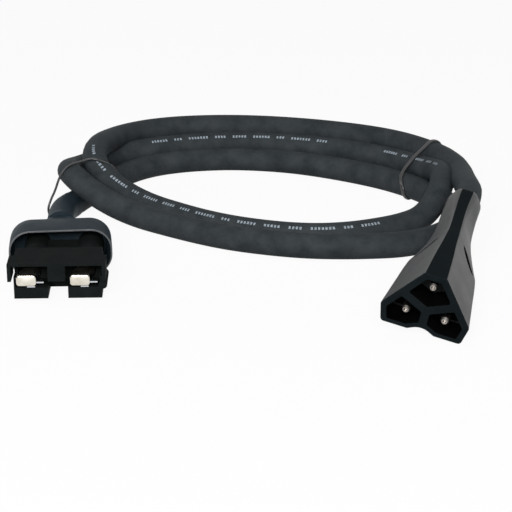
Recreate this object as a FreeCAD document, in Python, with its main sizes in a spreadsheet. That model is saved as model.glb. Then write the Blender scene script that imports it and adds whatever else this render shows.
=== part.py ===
import FreeCAD, Part
import math
import os
import re

import Sketcher

# A charging lead for a golf cart, laid down as a tied coil. A triangular three-pin plug ends one side
# and a flat two-pole battery connector in a rubber boot ends the other. Millimetres, +Z up, the
# connector's mouth faces -Y, and the origin is under the middle of the two ends' box.

doc = FreeCAD.newDocument("ChargingLead")
sizes = doc.addObject("Spreadsheet::Sheet", "Sizes")

DIMENSIONS = {
    # Charger plug: its face, a triangle with flattened corners
    "face_width": 32.8,
    "foot_width": 29.6,
    "face_height": 23.0,
    "ridge_width": 8.2,
    "corner_rise": 7.0,
    "rim": 2.5,
    "floor_wall": 1.6,
    "roof_wall": 2.2,
    "rib": 3.0,
    "rib_angle": 25,
    "hub_height": 8.8,
    "foot_margin": 2.0,
    "cavity_depth": 13,
    "cavity_corner": 0.8,
    "notch_width": 9.2,
    "notch_depth": 1.7,
    "notch_length": 30,
    "face_bevel": 0.5,
    # Charger plug: the sections along the grip
    "head_length": 38.5,
    "head_width": 26.6,
    "head_foot": 23.4,
    "head_corner": 7.3,
    "head_ridge": 21.2,
    "head_ridge_width": 6.4,
    "head_lift": 1.0,
    "grip_station": 53.5,
    "grip_width": 20.8,
    "grip_foot": 17.0,
    "grip_corner": 8.4,
    "grip_ridge": 20.1,
    "grip_ridge_width": 5.8,
    "grip_lift": 2.6,
    "waist_station": 68,
    "waist_width": 16.6,
    "waist_foot": 11.4,
    "waist_corner": 9.8,
    "waist_ridge": 19.3,
    "waist_ridge_width": 5.6,
    "waist_lift": 4.1,
    "neck_station": 84,
    "plug_length": 98.5,
    "neck_diameter": 13.0,
    "neck_ridge_width": 5.4,
    "axis_height": 11.7,
    "shell_wall": 1.9,
    "chamber_end": 66,
    # Charger plug: finger dents in the sides
    "dent_station": 51,
    "dent_radius": 26,
    "dent_tube": 2.4,
    "dent_height": 6.6,
    "dent_depth": 0.9,
    # Charger plug: pins, carrier and wires
    "pin_diameter": 3.1,
    "pin_shank": 3.6,
    "pin_recess": 2.5,
    "pin_spacing": 14.4,
    "pin_low": 5.9,
    "pin_high": 17.2,
    "pin_barrel": 4.4,
    "pin_barrel_length": 9,
    "pin_tip_hole": 1.5,
    "pin_tip_depth": 1.2,
    "pin_collar": 4.9,
    "pin_collar_length": 1.5,
    "carrier_length": 9,
    "fit_gap": 0.1,
    "wire_diameter": 3.8,
    "wire_spread": 4.4,
    "wire_lead": 7,
    "wire_meeting": 60,
    "jacket_start": 82,
    "jumper_diameter": 1.2,
    # Battery connector housing
    "hood_width": 36.5,
    "hood_drop": 6.8,
    "block_width": 33.0,
    "housing_height": 15.5,
    "housing_length": 47.8,
    "block_length": 18.2,
    "hood_length": 5.0,
    "hood_wall": 1.35,
    "hood_roof": 0.8,
    "centre_rib": 6.4,
    "tongue_setback": 5.0,
    "tongue_thickness": 4.4,
    "tongue_gap": 7.5,
    "gap_depth": 12,
    "mouth_depth": 15,
    "pole_spacing": 20.7,
    "barrel_diameter": 10.4,
    "barrel_bore": 7.0,
    "barrel_height": 7.4,
    "web_height": 5.5,
    "side_key": 1.6,
    # Battery connector contacts and springs
    "contact_width": 7.0,
    "contact_thickness": 2.6,
    "contact_front": 4.2,
    "contact_height": 7.6,
    "contact_barrel": 6.6,
    "contact_barrel_length": 12,
    "contact_round": 1.2,
    "spring_width": 6.4,
    "spring_thickness": 0.5,
    "spring_front": 5.4,
    "spring_length": 8,
    # Boot
    "boot_cover": 15.2,
    "boot_length": 31,
    "boot_width": 40.2,
    "boot_height": 19.0,
    "boot_round": 8.5,
    "boot_shoulder": 6.5,
    "boot_wall": 1.75,
    "boot_socket": 12,
    "boot_chamber": 11,
    "boot_chamber_end": 29.5,
    "boot_yaw": 4.0,
    "boot_shift": -0.8,
    "sleeve_diameter": 12.9,
    "sleeve_start": 26,
    # Cable and ties
    "cable_diameter": 10.5,
    "coil_long": 91.5,
    "coil_short": 67.0,
    "coil_angle": -25,
    "coil_x": 8.0,
    "coil_y": 87.0,
    "coil_band": 24.0,
    "coil_hole_angle": -20,
    "coil_hole_x": 11.5,
    "coil_hole_y": 84.8,
    "coil_height": 25.0,
    "coil_tilt": 2.6,
    "coil_round": 5.0,
    "coil_lift": 1.0,
    "band_width": 1.7,
    "thin_band_width": 0.9,
    # Where things lie
    "plug_x": 61.5,
    "plug_y": -66.0,
    "plug_lift": 3.55,
    "plug_yaw": -14.4,
    "plug_pitch": 3.0,
    "plug_roll": 13.1,
    "connector_x": -70.9,
    "connector_y": -33.6,
    "connector_yaw": 2.0,
    "right_band_x": 74.5,
    "right_band_y": 111.5,
    "right_band_turn": 55,
    "left_band_x": -70.5,
    "left_band_y": 95.0,
    "left_band_turn": 32,
}

# sizes that follow from the ones above
FOLLOWING = {
    "boot_mouth": "=housing_length - boot_cover",
    "coil_hole_long": "=coil_long - coil_band",
    "coil_hole_short": "=coil_short - coil_band",
}
NAMED = {**DIMENSIONS, **FOLLOWING}

for row, (alias, number) in enumerate(NAMED.items(), start=1):
    sizes.set(f"A{row}", alias)
    sizes.set(f"B{row}", str(number))
    sizes.setAlias(f"B{row}", alias)
doc.recompute()


def size(alias):
    """A driving dimension's number, as the sheet holds it."""
    return float(sizes.get(alias))


def worked(expression):
    """What an expression over the sheet comes to."""
    return float(sizes.evalExpression(str(expression)))


def cell(words):
    """The dimensions' names in an expression become cells of the sheet."""
    return re.sub(r"[a-z]\w*", lambda m: f"Sizes.{m[0]}" if m[0] in NAMED else m[0], words)


# Sketches and features

def body_named(label):
    body = doc.addObject("PartDesign::Body", label)
    body.Label = label
    return body


def sketch_on(body, name, role, station="0"):
    """A sketch on one of the body's origin planes, moved along the plane's normal."""
    drawn = body.newObject("Sketcher::SketchObject", name)
    plane = [f for f in body.Origin.OriginFeatures if f.Role == role][0]
    drawn.AttachmentSupport = [(plane, "")]
    drawn.MapMode = "FlatFace"
    drawn.setExpression("AttachmentOffset.Base.z", cell(station))
    return drawn


def bind(drawn, kind, geometry, point, expression):
    index = drawn.addConstraint(Sketcher.Constraint(kind, -1, 1, geometry, point, worked(expression)))
    drawn.setExpression(f"Constraints[{index}]", expression)


def draw_polygon(drawn, corners):
    """A closed outline whose corners are bound to the sheet."""
    bound = [(cell(across), cell(up)) for across, up in corners]
    placed = [FreeCAD.Vector(worked(across), worked(up), 0) for across, up in bound]
    first = drawn.GeometryCount
    count = len(bound)
    for index in range(count):
        drawn.addGeometry(Part.LineSegment(placed[index], placed[(index + 1) % count]), False)
    for index in range(count):
        after = first + (index + 1) % count
        drawn.addConstraint(Sketcher.Constraint("Coincident", first + index, 2, after, 1))
    for index, (across, up) in enumerate(bound):
        bind(drawn, "DistanceX", first + index, 1, across)
        bind(drawn, "DistanceY", first + index, 1, up)


def draw_circle(drawn, across, up, diameter):
    across, up, diameter = cell(across), cell(up), cell(diameter)
    centre = FreeCAD.Vector(worked(across), worked(up), 0)
    ring = Part.Circle(centre, FreeCAD.Vector(0, 0, 1), worked(diameter) / 2)
    geometry = drawn.addGeometry(ring, False)
    bind(drawn, "DistanceX", geometry, 3, across)
    bind(drawn, "DistanceY", geometry, 3, up)
    round_size = Sketcher.Constraint("Diameter", geometry, worked(diameter))
    drawn.setExpression(f"Constraints[{drawn.addConstraint(round_size)}]", diameter)


def pad(body, name, drawn, length, backwards=False, both_ways=False):
    made = body.newObject("PartDesign::Pad", name)
    made.Profile = drawn
    made.setExpression("Length", cell(length))
    made.Reversed = backwards
    made.Midplane = both_ways
    return made


def pocket(body, name, drawn, depth, backwards=False, both_ways=False):
    """A pocket has to take something away."""
    doc.recompute()
    before = body.Shape.Volume
    made = body.newObject("PartDesign::Pocket", name)
    made.Profile = drawn
    made.setExpression("Length", cell(depth))
    made.Reversed = backwards
    made.Midplane = both_ways
    doc.recompute()
    if not body.Shape.Volume < before:
        raise RuntimeError(f"{name} cuts nothing")
    return made


def loft(body, name, sections, straight, kind="PartDesign::AdditiveLoft"):
    made = body.newObject(kind, name)
    made.Profile = sections[0]
    made.Sections = sections[1:]
    made.Ruled = straight
    return made


def round_edges(body, name, radius, chosen, kind="PartDesign::Fillet"):
    """Rounds or bevels the tip's edges for which chosen(edge) is true."""
    doc.recompute()
    tip = body.Tip
    names = [f"Edge{n}" for n, edge in enumerate(tip.Shape.Edges, start=1) if chosen(edge)]
    if not names:
        raise RuntimeError(f"{name} finds no edge")
    made = body.newObject(kind, name)
    made.Base = (tip, names)
    made.setExpression("Radius" if kind.endswith("Fillet") else "Size", cell(radius))
    return made


def runs_along_y(edge):
    ends = [v.Point for v in edge.Vertexes]
    if len(ends) < 2:
        return False
    run = ends[1] - ends[0]
    return abs(run.y) > 1 and math.hypot(run.x, run.z) < 0.01


# Where the two ends lie

def turned(x, y, z, yaw, pitch=0, roll=0):
    """A placement: rolled about Y, then pitched about X, then turned about Z."""
    turn = FreeCAD.Rotation(FreeCAD.Vector(0, 0, 1), yaw)
    tip = FreeCAD.Rotation(FreeCAD.Vector(1, 0, 0), pitch)
    lean = FreeCAD.Rotation(FreeCAD.Vector(0, 1, 0), roll)
    return FreeCAD.Placement(FreeCAD.Vector(x, y, z), turn.multiply(tip).multiply(lean))


plug_place = turned(
    size("plug_x"), size("plug_y"), size("plug_lift"),
    size("plug_yaw"), size("plug_pitch"), size("plug_roll"),
)
connector_lift = (size("boot_height") - size("housing_height")) / 2
connector_place = turned(
    size("connector_x"), size("connector_y"), connector_lift, size("connector_yaw")
)
boot_place = connector_place.multiply(
    turned(size("boot_shift"), size("boot_mouth"), size("housing_height") / 2, size("boot_yaw"))
)


# The plug's sections

FACE = ("face_width", "foot_width", "face_height", "ridge_width", "corner_rise", "0")
HEAD = ("head_width", "head_foot", "head_ridge", "head_ridge_width", "head_corner", "head_lift")
GRIP = ("grip_width", "grip_foot", "grip_ridge", "grip_ridge_width", "grip_corner", "grip_lift")
WAIST = ("waist_width", "waist_foot", "waist_ridge", "waist_ridge_width", "waist_corner", "waist_lift")
NECK_ROUND = 0.985
NECK = (
    f"neck_diameter * {NECK_ROUND}",
    "neck_diameter * 0.6",
    f"axis_height + neck_diameter / 2 * {NECK_ROUND}",
    "neck_ridge_width",
    "axis_height",
    "axis_height - neck_diameter / 2 * 0.8",
)


def between(first, second, share):
    """The section part of the way from one section to the next."""
    return tuple(f"({a}) + (({b}) - ({a})) * {share}" for a, b in zip(first, second))


def hexagon(section, inset="0"):
    """A section's six corners, each side moved inwards by the inset."""
    width, foot, ridge, ridge_width, corner, lift = section
    top = f"({ridge}) - ({inset})"
    bottom = f"({lift}) + ({inset})"
    half_ridge = f"({ridge_width}) / 2 - ({inset}) * 0.4"
    half_width = f"({width}) / 2 - ({inset}) * 1.25"
    half_foot = f"({foot}) / 2 - ({inset})"
    return [
        (f"0 - ({half_ridge})", top),
        (half_ridge, top),
        (half_width, corner),
        (half_foot, bottom),
        (f"0 - ({half_foot})", bottom),
        (f"0 - ({half_width})", corner),
    ]


def plug_section(body, name, section, station, inset="0"):
    drawn = sketch_on(body, name, "XZ_Plane", f"0 - ({station})")
    draw_polygon(drawn, hexagon(section, inset))
    return drawn


# The cavities behind the plug's rim, with a Y of ribs between them

side_run = "(face_width - ridge_width) / 2"
side_rise = "(face_height - corner_rise)"
side_lean = f"({side_run}) / {side_rise}"
inner_zero = f"(face_width / 2 - rim * sqrt(({side_run}) ^ 2 + {side_rise} ^ 2) / {side_rise})"
rib_climb = "tan(rib_angle * 1 deg)"
half_rib = "rib / 2 / cos(rib_angle * 1 deg)"


def inner_side(height):
    """How far out the rim's inner side stands at a height."""
    return f"{inner_zero} - (({height}) - corner_rise) * {side_lean}"


def rib_meets_side(start):
    """Where a rib's edge, rising from start on the middle line, meets the rim's inner side."""
    across = f"({inner_zero} - ({start} - corner_rise) * {side_lean}) / (1 + {side_lean} * {rib_climb})"
    return across, f"{start} + {across} * {rib_climb}"


def cavities():
    above = f"(hub_height + {half_rib})"
    below = f"(hub_height - {half_rib})"
    roof = "face_height - roof_wall"
    out_high, up_high = rib_meets_side(above)
    out_low, up_low = rib_meets_side(below)
    upper = [
        ("0", above),
        (out_high, up_high),
        (inner_side(roof), roof),
        (f"0 - ({inner_side(roof)})", roof),
        (f"0 - ({out_high})", up_high),
    ]
    corner = "corner_rise - 1"
    right = [
        ("rib / 2", "notch_depth + floor_wall + 0.3"),
        ("notch_width / 2 + 1.2", "floor_wall"),
        ("foot_width / 2 - foot_margin", "floor_wall"),
        (inner_side(corner), corner),
        (out_low, up_low),
        ("rib / 2", f"{below} + rib / 2 * {rib_climb}"),
    ]
    left = [(f"0 - ({across})", up) for across, up in reversed(right)]
    return upper, right, left


def plug_housing():
    body = body_named("plug_housing")
    body.Placement = plug_place
    face = plug_section(body, "FaceSection", FACE, "0")
    head = plug_section(body, "HeadSection", HEAD, "head_length")
    loft(body, "Head", [face, head], True)
    shoulder = plug_section(body, "ShoulderSection", HEAD, "head_length")
    grip = plug_section(body, "GripSection", GRIP, "grip_station")
    waist = plug_section(body, "WaistSection", WAIST, "waist_station")
    neck = plug_section(body, "NeckSection", NECK, "neck_station")
    loft(body, "Grip", [shoulder, grip, waist, neck], False)
    end = plug_section(body, "NeckRoot", NECK, "neck_station")
    tail = plug_section(body, "NeckTail", NECK, "plug_length - 4")
    loft(body, "NeckRidge", [end, tail], True)
    collar = sketch_on(body, "CollarSketch", "XZ_Plane", "0 - neck_station")
    draw_circle(collar, "0", "axis_height", "neck_diameter")
    pad(body, "Collar", collar, "plug_length - neck_station", backwards=True)

    for name, corners in zip(("TopCavity", "RightCavity", "LeftCavity"), cavities()):
        drawn = sketch_on(body, name + "Sketch", "XZ_Plane")
        draw_polygon(drawn, corners)
        pocket(body, name, drawn, "cavity_depth + 1")
    notch = sketch_on(body, "NotchSketch", "XZ_Plane")
    notch_round = "(notch_width ^ 2 / 4 + notch_depth ^ 2) / notch_depth"
    draw_circle(notch, "0", f"notch_depth - {notch_round} / 2", notch_round)
    pocket(body, "Notch", notch, "notch_length")

    depth = size("cavity_depth")

    def in_cavity(edge):
        if not runs_along_y(edge):
            return False
        ends = sorted(v.Point.y for v in edge.Vertexes)
        return ends[0] < 0.01 and ends[1] < depth + 1.1 and edge.Vertexes[0].Point.z > 0.5

    round_edges(body, "CavityCorners", "cavity_corner", in_cavity)

    def on_outline(edge):
        box = edge.BoundBox
        if box.YMax > 0.01 or box.YMin < -0.01:
            return False
        far = box.XMax > size("face_width") / 2 - 0.5 or box.XMin < 0.5 - size("face_width") / 2
        return far or box.ZMin > size("face_height") - 0.5

    round_edges(body, "FaceBevel", "face_bevel", on_outline, "PartDesign::Chamfer")

    dent_out = "(grip_width / 2 + dent_radius + dent_tube - dent_depth)"
    for name, side in (("RightDent", 1), ("LeftDent", -1)):
        dent = body.newObject("PartDesign::SubtractiveTorus", name)
        dent.setExpression("Radius1", cell("dent_radius"))
        dent.setExpression("Radius2", cell("dent_tube"))
        dent.setExpression("Placement.Base.x", cell(f"{side} * {dent_out}"))
        dent.setExpression("Placement.Base.y", cell("dent_station"))
        dent.setExpression("Placement.Base.z", cell("dent_height"))

    start_share = "cavity_depth / head_length"
    opened = plug_section(body, "ChamberMouth", between(FACE, HEAD, start_share), "cavity_depth", "shell_wall")
    middle = plug_section(body, "ChamberHead", HEAD, "head_length", "shell_wall")
    loft(body, "FrontChamber", [opened, middle], True, "PartDesign::SubtractiveLoft")
    again = plug_section(body, "ChamberShoulder", HEAD, "head_length", "shell_wall")
    closing = plug_section(body, "ChamberGrip", GRIP, "grip_station", "shell_wall")
    closed = plug_section(body, "ChamberEnd", WAIST, "chamber_end", "shell_wall")
    loft(body, "RearChamber", [again, closing, closed], True, "PartDesign::SubtractiveLoft")
    bore = sketch_on(body, "BoreSketch", "XZ_Plane", "0 - chamber_end + 1")
    draw_circle(bore, "0", "axis_height", "cable_diameter")
    pocket(body, "CableBore", bore, "plug_length - chamber_end + 2")
    doc.recompute()
    return body


def pin_carrier():
    """The insulating block behind the cavities, seated on the ribs, with a boss for each pin."""
    body = body_named("pin_carrier")
    body.Placement = plug_place
    inset = "shell_wall + fit_gap"
    stations = ("cavity_depth", "cavity_depth + carrier_length")
    ends = []
    for name, station in zip(("CarrierFront", "CarrierRear"), stations):
        section = between(FACE, HEAD, f"({station}) / head_length")
        ends.append(plug_section(body, name, section, station, inset))
    loft(body, "Block", ends, True)
    for name, (across, up) in PINS.items():
        hole = sketch_on(body, f"Hole_{name}", "XZ_Plane", "0 - cavity_depth + 1")
        draw_circle(hole, across, up, "pin_shank")
        pocket(body, f"Bore_{name}", hole, "carrier_length + 2")
        seat = sketch_on(body, f"Seat_{name}", "XZ_Plane", "0 - cavity_depth - carrier_length / 2")
        draw_circle(seat, across, up, "pin_collar")
        pocket(body, f"CollarSeat_{name}", seat, "carrier_length")
    return body


PINS = {
    "interlock": ("0", "pin_high"),
    "positive": ("0 - pin_spacing / 2", "pin_low"),
    "negative": ("pin_spacing / 2", "pin_low"),
}


def charger_pin(name, across, up):
    """A turned pin: hollow tip, collar in the carrier and a barrel for its wire."""
    body = body_named(f"pin_{name}")
    body.Placement = plug_place
    seat = "cavity_depth + carrier_length / 2"
    barrel_end = "cavity_depth + carrier_length + pin_barrel_length"
    turned_shape = sketch_on(body, "Profile", "XY_Plane", up)
    tip = f"{across} + pin_tip_hole / 2"
    side = f"{across} + pin_diameter / 2"
    draw_polygon(turned_shape, [
        (across, "pin_recess + pin_tip_depth"),
        (tip, "pin_recess + pin_tip_depth"),
        (tip, "pin_recess"),
        (f"{side} - 0.5", "pin_recess"),
        (side, "pin_recess + 0.5"),
        (side, "cavity_depth - 0.5"),
        (f"{across} + pin_shank / 2", "cavity_depth - 0.5"),
        (f"{across} + pin_shank / 2", seat),
        (f"{across} + pin_collar / 2", seat),
        (f"{across} + pin_collar / 2", f"{seat} + pin_collar_length"),
        (f"{across} + pin_barrel / 2", f"{seat} + pin_collar_length"),
        (f"{across} + pin_barrel / 2", barrel_end),
        (across, barrel_end),
    ])
    doc.recompute()
    made = body.newObject("PartDesign::Revolution", "Turning")
    made.Profile = turned_shape
    made.ReferenceAxis = (turned_shape, ["Edge13"])
    made.Angle = 360
    doc.recompute()
    return body


# Round runs: wires and the cable

def rounded_route(points):
    """Straight runs between the points, with each corner an arc as large as its two runs allow."""
    corners = [FreeCAD.Vector(*p) for p in points]
    edges = []
    radii = []
    start = corners[0]
    for before, corner, after in zip(corners, corners[1:], corners[2:]):
        back = before - corner
        on = after - corner
        half_turn = (math.pi - back.getAngle(on)) / 2
        reach = 0.45 * min(back.Length, on.Length)
        radii.append(reach / math.tan(half_turn))
        back.normalize()
        on.normalize()
        first = corner + back * reach
        last = corner + on * reach
        inward = (back + on).normalize()
        middle = corner + inward * (radii[-1] / math.cos(half_turn) - radii[-1])
        edges.append(Part.LineSegment(start, first).toShape())
        edges.append(Part.Arc(first, middle, last).toShape())
        start = last
    edges.append(Part.LineSegment(start, corners[-1]).toShape())
    return Part.Wire(edges), radii


def round_run(points, diameter, name):
    """A solid round run along a route; its volume has to be its section times its length."""
    route, radii = rounded_route(points)
    pieces = []
    for edge in route.Edges:
        start = edge.valueAt(edge.FirstParameter)
        heading = edge.tangentAt(edge.FirstParameter)
        disc = Part.Face(Part.Wire([Part.Circle(start, heading, diameter / 2).toShape()]))
        if isinstance(edge.Curve, Part.Line):
            pieces.append(disc.extrude(heading * edge.Length))
        else:
            turn = math.degrees(edge.Length / edge.Curve.Radius)
            pieces.append(disc.revolve(edge.Curve.Center, edge.Curve.Axis, turn))
    run = pieces[0].fuse(pieces[1:])
    wanted = math.pi * diameter**2 / 4 * route.Length
    if abs(run.Volume / wanted - 1) > 0.01 or len(run.Solids) != 1:
        raise RuntimeError(f"{name}: volume {run.Volume:.0f}, section times length {wanted:.0f}")
    shown = ", ".join(f"{radius:.0f}" for radius in radii)
    print(f"{name}: {route.Length:.0f} mm long, radii {shown} mm")
    return run.Solids[0]


def feature(label, shape):
    made = doc.addObject("Part::Feature", label)
    made.Label = label
    made.Shape = shape
    return made


def spot(place, x, y, z):
    return tuple(place.multVec(FreeCAD.Vector(x, y, z)))


# Battery connector

def connector_housing():
    """Two poles side by side: a hood over the front, a tongue below each pole, a tube behind it."""
    body = body_named("connector_housing")
    body.Placement = connector_place
    top = "housing_height"
    drop = "housing_height - hood_drop"

    block = sketch_on(body, "BlockSketch", "XY_Plane")
    half = "block_width / 2"
    draw_polygon(block, [
        (f"0 - {half}", "tongue_setback"),
        (half, "tongue_setback"),
        (half, "block_length"),
        (f"0 - {half}", "block_length"),
    ])
    pad(body, "Block", block, top)

    hood = sketch_on(body, "HoodSketch", "XZ_Plane")
    wide = "hood_width / 2"
    draw_polygon(hood, [
        (f"0 - {wide}", drop),
        (wide, drop),
        (wide, top),
        (f"0 - {wide}", top),
    ])
    pad(body, "Hood", hood, "tongue_setback + hood_length", backwards=True)

    for name, side in (("LeftTube", -1), ("RightTube", 1)):
        tube = sketch_on(body, name + "Sketch", "XZ_Plane", "0 - block_length + 1")
        draw_circle(tube, f"{side} * pole_spacing / 2", "barrel_height", "barrel_diameter")
        pad(body, name, tube, "housing_length - block_length + 1", backwards=True)
    web = sketch_on(body, "WebSketch", "XY_Plane", "barrel_height - web_height / 2")
    inner = "(pole_spacing / 2)"
    draw_polygon(web, [
        (f"0 - {inner}", "block_length - 1"),
        (inner, "block_length - 1"),
        (inner, "housing_length - 6"),
        (f"0 - {inner}", "housing_length - 6"),
    ])
    pad(body, "Web", web, "web_height")

    roof = "housing_height - hood_roof"
    for name, side in (("LeftMouth", -1), ("RightMouth", 1)):
        near = "centre_rib / 2"
        far = "(hood_width / 2 - hood_wall)"
        mouth = sketch_on(body, name + "Sketch", "XZ_Plane")
        draw_polygon(mouth, [
            (f"{side} * {near}", "tongue_thickness"),
            (f"{side} * (block_width / 2 - 0.6)", "tongue_thickness"),
            (f"{side} * (block_width / 2 - 0.6)", drop),
            (f"{side} * {far}", drop),
            (f"{side} * {far}", roof),
            (f"{side} * {near}", roof),
        ])
        pocket(body, name, mouth, "tongue_setback + hood_length")
        deep = sketch_on(body, name + "DeepSketch", "XZ_Plane", "0 - tongue_setback - hood_length + 0.1")
        draw_polygon(deep, [
            (f"{side} * {near}", "tongue_thickness"),
            (f"{side} * (block_width / 2 - hood_wall)", "tongue_thickness"),
            (f"{side} * (block_width / 2 - hood_wall)", f"{roof} - 0.8"),
            (f"{side} * {near}", f"{roof} - 0.8"),
        ])
        pocket(body, name + "Deep", deep, "mouth_depth - tongue_setback - hood_length + 0.1")
        bore = sketch_on(body, name + "BoreSketch", "XZ_Plane", "0 - mouth_depth + 2")
        draw_circle(bore, f"{side} * pole_spacing / 2", "barrel_height", "barrel_bore")
        pocket(body, name + "Bore", bore, "housing_length")

    gap = sketch_on(body, "GapSketch", "XY_Plane")
    slot = "tongue_gap / 2"
    draw_polygon(gap, [
        (f"0 - {slot}", "tongue_setback - 1"),
        (slot, "tongue_setback - 1"),
        (slot, "tongue_setback + gap_depth"),
        (f"0 - {slot}", "tongue_setback + gap_depth"),
    ])
    pocket(body, "TongueGap", gap, drop, backwards=True)
    key = sketch_on(body, "KeySketch", "XZ_Plane", "0 - tongue_setback")
    draw_circle(key, "block_width / 2 + side_key / 4", "hood_drop - side_key", "side_key * 2")
    pad(body, "SideKey", key, "block_length - tongue_setback", backwards=True)
    doc.recompute()
    return body


def pole(side):
    return f"{side} * pole_spacing / 2"


def contact(name, side):
    """A plated blade in the mouth, with the barrel that its wire is crimped in."""
    body = body_named(f"contact_{name}")
    body.Placement = connector_place
    blade = sketch_on(body, "BladeSketch", "XY_Plane", "contact_height - contact_thickness / 2")
    half = "contact_width / 2"
    draw_polygon(blade, [
        (f"{pole(side)} - {half}", "contact_front"),
        (f"{pole(side)} + {half}", "contact_front"),
        (f"{pole(side)} + {half}", "mouth_depth - 0.5"),
        (f"{pole(side)} - {half}", "mouth_depth - 0.5"),
    ])
    pad(body, "Blade", blade, "contact_thickness")

    def at_front(edge):
        box = edge.BoundBox
        return box.YMax < size("contact_front") + 0.01

    round_edges(body, "BladeFront", "contact_round", at_front)
    stem = sketch_on(body, "StemSketch", "XZ_Plane", "0 - mouth_depth + 1.5")
    draw_circle(stem, pole(side), "barrel_height", "contact_barrel")
    pad(body, "Stem", stem, "contact_barrel_length + 1.5", backwards=True)
    hole = sketch_on(body, "HoleSketch", "XZ_Plane", "0 - mouth_depth - 2")
    draw_circle(hole, pole(side), "barrel_height", "wire_diameter")
    pocket(body, "CrimpHole", hole, "contact_barrel_length")
    return body


def spring(name, side):
    """A bowed leaf on the tongue that presses the blade up."""
    body = body_named(f"spring_{name}")
    body.Placement = connector_place
    bow = sketch_on(body, "BowSketch", "YZ_Plane", pole(side))
    low = "tongue_thickness"
    high = "(contact_height - contact_thickness / 2 - spring_thickness)"
    middle = "spring_front + spring_length / 2"
    draw_polygon(bow, [
        ("spring_front", low),
        (middle, high),
        ("spring_front + spring_length", low),
        ("spring_front + spring_length", f"{low} + spring_thickness"),
        (middle, f"{high} + spring_thickness"),
        ("spring_front", f"{low} + spring_thickness"),
    ])
    pad(body, "Leaf", bow, "spring_width", both_ways=True)
    return body


# The boot over the connector's tubes, and the wires in it

LEAD_START = (-76.887, 41.36, 8.617)
LEAD_ROUTE = [
    LEAD_START,
    (-77.8, 56.5, 7.8),
    (-75.8, 71.5, 6.5),
    (-70.4, 86.0, 6.4),
    (-63.0, 103.0, 6.7),
]
SLEEVE_ROUTE = [(-75.9, 25.0, 9.5), (-77.8, 56.5, 7.8), (-76.2, 68.5, 6.76)]
WIRES_MEET = (-76.1, 28.3, 9.33)


def boot_body(label, inset, start, length):
    """A rounded block in the boot's own frame, for its outside and for its mouth."""
    body = body_named(label)
    body.Placement = boot_place
    drawn = sketch_on(body, "Section", "XZ_Plane", f"0 - ({start})")
    half = f"(boot_width / 2 - {inset})"
    high = f"(boot_height / 2 - {inset})"
    corners = [
        (f"0 - {half}", f"0 - {high}"),
        (half, f"0 - {high}"),
        (half, high),
        (f"0 - {half}", high),
    ]
    draw_polygon(drawn, corners)
    pad(body, "Block", drawn, length, backwards=True)
    round_edges(body, "Sides", f"boot_round - {inset}", runs_along_y)
    return body


def at_boot_end(edge):
    return edge.BoundBox.YMin > size("boot_length") - 0.01


def boot_chamber(first, last):
    """The room behind the tubes, narrowing to the cable's bore."""
    body = body_named("BootChamber")
    body.Placement = boot_place
    ends = []
    for name, (along, half, high) in (("Wide", first), ("Narrow", last)):
        drawn = sketch_on(body, name, "XZ_Plane", f"0 - ({along})")
        corners = [
            (f"0 - {half}", f"0 - {high}"),
            (half, f"0 - {high}"),
            (half, high),
            (f"0 - {half}", high),
        ]
        draw_polygon(drawn, corners)
        ends.append(drawn)
    loft(body, "Room", ends, True)
    doc.recompute()
    return body


def joined(label, things):
    made = doc.addObject("Part::MultiFuse", label)
    made.Label = label
    made.Shapes = things
    return made


def cut_from(label, base, tool):
    made = doc.addObject("Part::Cut", label)
    made.Label = label
    made.Base = base
    made.Tool = tool
    return made


def tube_room(label, side):
    """The place of one of the housing's tubes, its bore included."""
    room = doc.addObject("Part::Cylinder", label)
    room.setExpression("Radius", "Sizes.barrel_diameter / 2")
    room.Height = size("housing_length") - size("boot_mouth")
    along = FreeCAD.Placement(
        FreeCAD.Vector(side * size("pole_spacing") / 2, size("boot_mouth"), size("barrel_height")),
        FreeCAD.Rotation(FreeCAD.Vector(0, 0, 1), FreeCAD.Vector(0, 1, 0)),
    )
    room.Placement = connector_place.multiply(along)
    return room


def connector_boot():
    outside = boot_body("BootOutside", "0", "0", "boot_length")
    round_edges(outside, "Shoulder", "boot_shoulder", at_boot_end)
    sleeve = feature("BootSleeve", round_run(SLEEVE_ROUTE, size("sleeve_diameter"), "boot sleeve"))
    mouth = boot_body("BootMouth", "boot_wall", "0 - 1", "boot_socket + 1")
    chamber = boot_chamber(
        ("housing_length - boot_mouth - 1", "14.2", "boot_chamber / 2"),
        ("boot_chamber_end", "5.4", "(boot_chamber / 2 - 0.6)"),
    )
    bore_route = [SLEEVE_ROUTE[0], *LEAD_ROUTE[1:4]]
    bore = feature("BootBore", round_run(bore_route, size("cable_diameter"), "boot bore"))
    solid = joined("BootSolid", [outside, sleeve])
    tubes = [tube_room("LeftTubeRoom", -1), tube_room("RightTubeRoom", 1)]
    room = joined("BootRoom", [mouth, chamber, *tubes])
    opened = cut_from("BootOpened", solid, room)
    return cut_from("connector_boot", opened, bore)


def connector_wire(name, side):
    """From the bottom of its contact's barrel to the end of the cable's jacket."""
    across = side * size("pole_spacing") / 2
    start = spot(connector_place, across, size("mouth_depth") + 2, size("barrel_height"))
    leaving = spot(connector_place, across, size("housing_length") + 0.2, size("barrel_height"))
    apart = side * size("wire_spread") / 2
    near = (WIRES_MEET[0] + apart, WIRES_MEET[1] + 0.06 * apart, WIRES_MEET[2])
    end = (LEAD_START[0] + apart, LEAD_START[1] + 0.06 * apart, LEAD_START[2])
    run = round_run([start, leaving, near, end], size("wire_diameter"), f"connector wire {name}")
    return feature(f"connector_wire_{name}", run)


# Wires in the plug

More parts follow.
